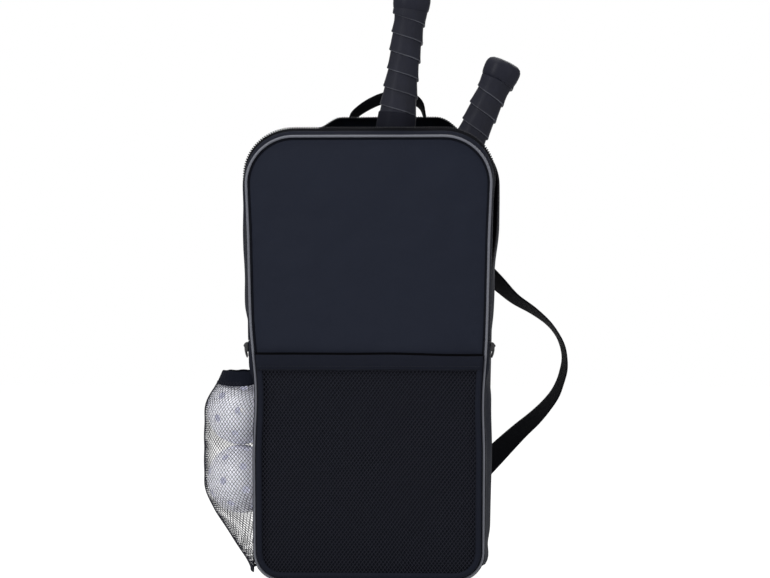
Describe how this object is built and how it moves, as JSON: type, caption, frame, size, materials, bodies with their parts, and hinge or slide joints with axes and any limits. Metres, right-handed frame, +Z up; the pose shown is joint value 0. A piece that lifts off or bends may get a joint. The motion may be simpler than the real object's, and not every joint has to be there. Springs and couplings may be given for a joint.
{
  "type": "pickleball set bag",
  "caption": "Upright fabric bag with an open zip mouth, mesh front and side pockets, paddles with wound grips, perforated balls, haul loop and shoulder strap.",
  "frame": {"origin": "middle of the flat underside that the bag stands on", "axes": "+Z up, -Y out of the front with the mesh pocket, +X to the right seen from the front, where the shoulder strap stands out"},
  "size_m": [0.3931, 0.1334, 0.632],
  "materials": {
    "nylon": "plain woven nylon, dull",
    "padded_nylon": "padded woven nylon, dull",
    "gusset_nylon": "woven nylon strip, dull",
    "piping": "grey woven piping over a cord",
    "piping_dark": "dark woven piping over a cord",
    "front_mesh": "fine knitted mesh",
    "side_mesh": "knitted stretch mesh",
    "hem_tape": "woven tape with stitching",
    "elastic": "ribbed elastic",
    "zip_tape": "herringbone zip tape",
    "zip_teeth": "moulded zip teeth",
    "zip_metal": "black enamelled metal",
    "net": "folded knotted netting",
    "webbing": "woven webbing",
    "strap_webbing": "ribbed woven webbing",
    "ball": "moulded plastic, satin",
    "paddle_face": "matt composite sheet",
    "edge_guard": "moulded edge strip",
    "handle_core": "foam core",
    "grip_tape": "cushioned synthetic grip tape, satin",
    "collar_rubber": "stretched rubber collar",
    "butt_cap": "moulded cap"
  },
  "bodies": {
    "bag": {"back_panel": "padded_nylon", "bottom_panel": "nylon", "front_panel_lower": "nylon", "net_fold_front": "net", "net_fold_rear": "net", "net_tie": "hem_tape", "piping_lower": "piping", "piping_rear": "piping_dark", "pocket_hem": "hem_tape", "pocket_mesh": "front_mesh", "pocket_side_band": "gusset_nylon", "rear_gusset": "gusset_nylon", "side_panel_left": "nylon", "side_panel_right": "nylon", "side_pocket_binding": "elastic", "side_pocket_mesh": "side_mesh", "strap_patches": "webbing", "zip_stops": "zip_metal", "zip_tape_rear": "zip_tape", "zip_teeth_rear": "zip_teeth"},
    "flap": {"flap_panel": "nylon", "flap_gusset": "gusset_nylon", "zip_tape_front": "zip_tape", "zip_teeth_front": "zip_teeth", "piping_upper": "piping"},
    "slider_left": {"zip_slider_left": "zip_metal"},
    "slider_right": {"zip_slider_right": "zip_metal"},
    "puller_left": {"zip_puller_left": "zip_metal"},
    "puller_right": {"zip_puller_right": "zip_metal"},
    "haul_loop": {"haul_loop": "webbing"},
    "strap": {"shoulder_strap": "strap_webbing"},
    "front_paddle": {"front_paddle_butt_cap": "butt_cap", "front_paddle_collar": "collar_rubber", "front_paddle_edge_guard": "edge_guard", "front_paddle_face": "paddle_face", "front_paddle_grip_wrap": "grip_tape", "front_paddle_handle": "handle_core"},
    "rear_paddle": {"rear_paddle_butt_cap": "butt_cap", "rear_paddle_collar": "collar_rubber", "rear_paddle_edge_guard": "edge_guard", "rear_paddle_face": "paddle_face", "rear_paddle_grip_wrap": "grip_tape", "rear_paddle_handle": "handle_core"},
    "ball_upper": {"ball_upper": "ball"},
    "ball_lower": {"ball_lower": "ball"}
  },
  "joints": [
    {"name": "flap_fold", "type": "hinge", "parent": "bag", "child": "flap", "pos_m": [0, -0.0521, 0.257], "axis": [1, 0, 0], "range_deg": [0, 115]},
    {"name": "slider_left_run", "type": "slide", "parent": "bag", "child": "slider_left", "axis": [-0.0224, 0, 0.9997], "range_m": [0, 0.06]},
    {"name": "slider_right_run", "type": "slide", "parent": "bag", "child": "slider_right", "axis": [0.0224, 0, 0.9997], "range_m": [0, 0.06]},
    {"name": "puller_left_swing", "type": "hinge", "parent": "slider_left", "child": "puller_left", "pos_m": [-0.13344, -0.034, 0.25139], "axis": [0, 1, 0], "range_deg": [0, 170]},
    {"name": "puller_right_swing", "type": "hinge", "parent": "slider_right", "child": "puller_right", "pos_m": [0.13344, -0.034, 0.25139], "axis": [0, -1, 0], "range_deg": [0, 170]},
    {"name": "haul_loop_fold", "type": "hinge", "parent": "bag", "child": "haul_loop", "pos_m": [0.017, 0.042, 0.488], "axis": [-1, 0, 0], "range_deg": [0, 90]},
    {"name": "strap_swing", "type": "hinge", "parent": "bag", "child": "strap", "pos_m": [0.04258, 0.0492, 0.05222], "axis": [0.0355, 0, 0.9994], "range_deg": [0, 95]},
    {"name": "front_paddle_lift", "type": "slide", "parent": "bag", "child": "front_paddle", "axis": [0, 0, 1], "range_m": [0, 0.27]},
    {"name": "rear_paddle_lift", "type": "slide", "parent": "bag", "child": "rear_paddle", "axis": [0, 0, 1], "range_m": [0, 0.32]},
    {"name": "ball_upper_out", "type": "slide", "parent": "bag", "child": "ball_upper", "axis": [-0.5, 0, 0.866], "range_m": [0, 0.11], "deforming": ["side_pocket_mesh", "side_pocket_binding"]},
    {"name": "ball_lower_up", "type": "slide", "parent": "bag", "child": "ball_lower", "axis": [0, 0, 1], "range_m": [0, 0.0744], "deforming": ["side_pocket_mesh", "side_pocket_binding"]}
  ],
  "couplings": [
    {"joint": "ball_lower_up", "follows": "ball_upper_out", "ratio": 0.67}
  ]
}
